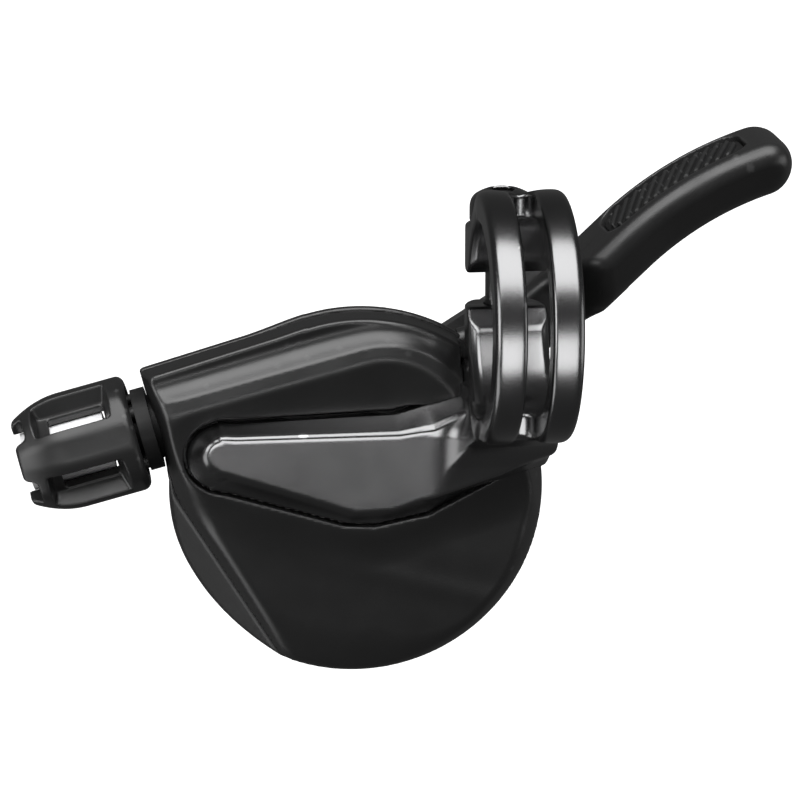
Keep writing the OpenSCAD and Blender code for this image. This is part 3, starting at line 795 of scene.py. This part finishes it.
def metals():
    return {
        # the second grey of each finish is painted along sharp edges: wear and a painted highlight
        "bracket": finish_of("anodised_black", grey(0.13), grey(0.25), (0.22, 0.26), METAL, 9000, 0.00002),
        "bolt": finish_of("bolt_black_oxide", grey(0.2), grey(0.3), (0.16, 0.26), METAL, 7000, 0.00001),
        "arm": finish_of("arm_black_steel", grey(0.06), grey(0.25), (0.32, 0.42), METAL, 6000, 0.00002),
        "steel": finish_of("turned_steel", grey(0.45), grey(0.6), (0.22, 0.34), METAL, 5000, 0.00002,
                           stretch=(1, 1, 4)),
        "spring": finish_of("spring_steel", grey(0.33), grey(0.45), (0.25, 0.35), METAL, 6000, 0.00001),
        "bronze": finish_of("bushing_bronze", BRONZE, BRONZE_WEAR_HIGHLIGHT, (0.3, 0.42), METAL, 6000, 0.00002),
        "silver": finish_of("barrel_silver", grey(0.85), grey(0.9), (0.3, 0.4), LACQUER, 5000, 0.00001,
                            stretch=(5, 5, 5)),
    }


def plastics():
    # the lighter grey is painted along the casing's sharp ridges: wear and a painted highlight
    shell, shell_wear_highlight = grey(0.0085), grey(0.02)
    return {
        "cover": finish_of("satin_plastic", shell, shell_wear_highlight, (0.29, 0.36), PLASTIC, 7000, 0.00003),
        "cover_low": finish_of("satin_plastic_lower", shell, shell_wear_highlight, (0.32, 0.4), PLASTIC, 7000,
                               0.00003),
        "knob": finish_of("knob_plastic", grey(0.009), grey(0.03), (0.30, 0.40), PLASTIC, 8000, 0.00003,
                          0.4),
        "lever": finish_of("lever_plastic", grey(0.010), grey(0.03), (0.34, 0.44), PLASTIC, 6500, 0.00004),
        # painted shade: the seat is darker than the casing's plastic, where it lies in the knob's shadow
        "seat": finish_of("seat_plastic_painted_shade", grey(0.006), grey(0.02), (0.5, 0.6), PLASTIC, 7000, 0.00003, 0.2),
        "rubber": finish_of("pad_rubber", grey(0.008), grey(0.03), (0.5, 0.62), PLASTIC, 5200, 0.00006,
                            0.25),
        # painted shade: the adjuster spring is matt and near black, standing in for the shadow between knob
        # and seat
        "dark_spring": finish_of("spring_painted_shade", grey(0.015), grey(0.05), (0.45, 0.55), PLASTIC, 6000,
                                 0.00001, 0.3),
        "acetal": finish_of("drum_acetal", CREAM, CREAM_WEAR_HIGHLIGHT, (0.35, 0.5), PLASTIC, 5000, 0.00002),
    }


CAD_LOOKS = {
    "base_plate": "steel", "main_axle": "steel", "axle_washer": "steel", "axle_nut": "steel",
    "cover_screws": "steel", "bracket_screws": "steel", "cable_port_plug": "cover",
    "stop_pawl_pin": "steel", "stop_pawl_spring": "spring", "winder_spring": "spring",
    "lever_spring": "spring", "adjuster_seat": "seat", "adjuster_spring": "dark_spring",
    "winder_drum": "acetal", "ratchet_plate": "steel", "drum_rivets": "steel", "stop_pawl": "steel",
    "lever_hub": "steel", "lever_bushing": "bronze", "lever_arm": "arm", "lever_screws": "steel",
    "drive_plate": "steel", "drive_pawl_pin": "steel", "drive_pawl": "steel",
    "drive_pawl_spring": "spring", "adjuster_barrel": "silver",
}  # the nodes that show their CAD meshes


def paint(piece, mat):
    piece.data.materials.clear()
    piece.data.materials.append(mat)


# ---- stage ---------------------------------------------------------------------------------------


MIDDLE = Vector((-0.012, -0.013, -0.010))  # of the object, in metres
LIGHT_FAR = 0.7
FLOOR_HALF, FLOOR_LEVEL = 12.0, -1.2
SKY = 0.095
CAMERA_AT = Vector((-51.73, 76.545, 327.373)) * MM
CAMERA_BACK = Vector((-0.11123, 0.25207, 0.96130))  # from the object to the camera
SENSOR, LENS = 36, 135


def soft_light(name, direction, size, radiance, only=None):
    """A soft box that faces the object from a direction."""
    data = bpy.data.lights.new(name, "AREA")
    data.shape = "RECTANGLE"
    data.size, data.size_y = size
    data.energy = radiance * math.pi * size[0] * size[1]
    lamp = bpy.data.objects.new(name, data)
    away = Vector(direction).normalized()
    lamp.location = MIDDLE + away * LIGHT_FAR
    lamp.rotation_mode = "QUATERNION"
    lamp.rotation_quaternion = away.to_track_quat("Z", "Y")
    bpy.context.scene.collection.objects.link(lamp)
    lamp.visible_camera = False
    if only:
        group = bpy.data.collections.new(name + "_receivers")
        for piece in only:
            group.objects.link(piece)
        lamp.light_linking.receiver_collection = group
    return lamp


def floor():
    """A pale floor. It glows and is left out of reflections, so that only the soft boxes light the object."""
    mesh = bpy.data.meshes.new("floor")
    rim = [(x * FLOOR_HALF, y * FLOOR_HALF, FLOOR_LEVEL) for x, y in ((-1, -1), (1, -1), (1, 1), (-1, 1))]
    mesh.from_pydata(rim, [], [(0, 1, 2, 3)])
    piece = bpy.data.objects.new("floor", mesh)
    bpy.context.scene.collection.objects.link(piece)
    mat, _, shade = shader("pale_floor")
    shade.inputs["Base Color"].default_value = (0.8, 0.8, 0.8, 1)
    shade.inputs["Roughness"].default_value = 0.9
    shade.inputs["Emission Color"].default_value = (1, 1, 1, 1)
    shade.inputs["Emission Strength"].default_value = 1.0
    paint(piece, mat)
    piece.visible_glossy = False
    piece.visible_diffuse = False


def world():
    sky = bpy.data.worlds.new("studio")
    sky.use_nodes = True
    back = sky.node_tree.nodes["Background"]
    back.inputs["Color"].default_value = (1, 1, 1, 1)
    back.inputs["Strength"].default_value = SKY
    bpy.context.scene.world = sky


def camera():
    back = CAMERA_BACK.normalized()
    up = Vector((0, 1, 0))
    up = (up - up.dot(back) * back).normalized()
    right = up.cross(back)
    data = bpy.data.cameras.new("camera")
    data.sensor_width, data.lens = SENSOR, LENS
    data.clip_start, data.clip_end = 0.02, 30
    piece = bpy.data.objects.new("camera", data)
    turn = Matrix((right, up, back)).transposed().to_4x4()
    piece.matrix_world = Matrix.Translation(CAMERA_AT) @ turn
    bpy.context.scene.collection.objects.link(piece)
    bpy.context.scene.camera = piece


# ---- build ---------------------------------------------------------------------------------------


def add(piece, body, node, look):
    paint(piece, look)
    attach(piece, body)
    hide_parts(node)
    return piece


def corners(box):
    return [[float(v) for v in p] for p in box]


def build_clamp(looks, coarse):
    bracket = skin("bracket_forging", clamp, (-38.5, -30, -20.5), (6.2, 15, 15.2), 0.27 * coarse)
    add(bracket, "housing", "clamp_bracket", looks["bracket"])
    bolt = skin("bolt", clamp_bolt, (-4.5, -9.6, -19.5), (4.5, 13, -10.5), 0.2 * coarse)
    add(bolt, "housing", "clamp_bolt", looks["bolt"])
    return bracket


def build_covers(looks, coarse):
    top = skin("cover_top", upper_cover, (-46, -49.5, -20.6), (6.8, -2, -12.8), 0.32 * coarse)
    add(top, "housing", "upper_cover", looks["cover"])
    bottom = skin("cover_bottom", lower_cover, (-46, -49.5, -31.6), (6.8, -2, -19.4), 0.42 * coarse)
    add(bottom, "housing", "lower_cover", looks["cover_low"])
    return top


def build_lever(looks, coarse):
    """The blade and its pad. Their fields run along the lever's own line from the main axle."""
    place = Matrix.Translation(Vector((AXLE[0], AXLE[1], 0))) @ Matrix.Rotation(LEVER_A, 4, "Z")
    piece = skin("lever_blade", thumb_lever, (24, -16, -33), (68, 4, -15), 0.32 * coarse, place)
    add(piece, "lever", "thumb_lever", looks["lever"])
    pad = skin("lever_grip", grip_pad, (42.5, -12, -26), (64, 4, -17), 0.17 * coarse, place)
    add(pad, "lever", "lever_pad", looks["rubber"])


def build_knob(looks, coarse):
    """The knob. Its field's axes run out along the adjuster, up, and towards the rider."""
    out = Vector((-LINE[0], -LINE[1], 0))
    turn = Matrix((out, Vector((0, 0, 1)), Vector((-LINE[1], LINE[0], 0)))).transposed().to_4x4()
    place = Matrix.Translation(Vector(ADJUSTER)) @ turn
    shell = skin("knob_shell", knob, (-0.6, -7.8, -7.8), (15, 7.8, 7.8), 0.2 * coarse, place)
    return add(shell, "adjuster_knob", "adjuster_knob", looks["knob"])


def light(bracket, cover, knob_shell):
    """Soft boxes round the object, which its dark surfaces mirror. Two of them light only some pieces."""
    soft_light("box_rider", (0, 0.87, 0.5), (1.1, 0.6), 6.0)
    soft_light("box_front", (0, -0.34, 0.94), (0.7, 0.42), 6.0, [bracket])
    soft_light("box_inboard", (-0.92, 0.05, 0.4), (0.5, 0.35), 5.0)
    soft_light("box_outboard", (0.95, -0.12, 0.2), (0.4, 0.4), 2.0)
    soft_light("box_low", (-0.78, -0.6, 0.16), (0.4, 0.4), 2.2)
    soft_light("box_ridge", (0.0, 0.03, 1.0), (0.9, 0.05), 9.0, [cover, knob_shell])


looks = metals() | plastics()
for node, look in CAD_LOOKS.items():
    paint(frame["nodes"][node], looks[look])

coarse = 1.0
bracket = build_clamp(looks, coarse)
cover = build_covers(looks, coarse)
build_lever(looks, coarse)
knob_shell = build_knob(looks, coarse)

floor()
world()
light(bracket, cover, knob_shell)
camera()
bpy.context.scene.view_settings.view_transform = "Standard"
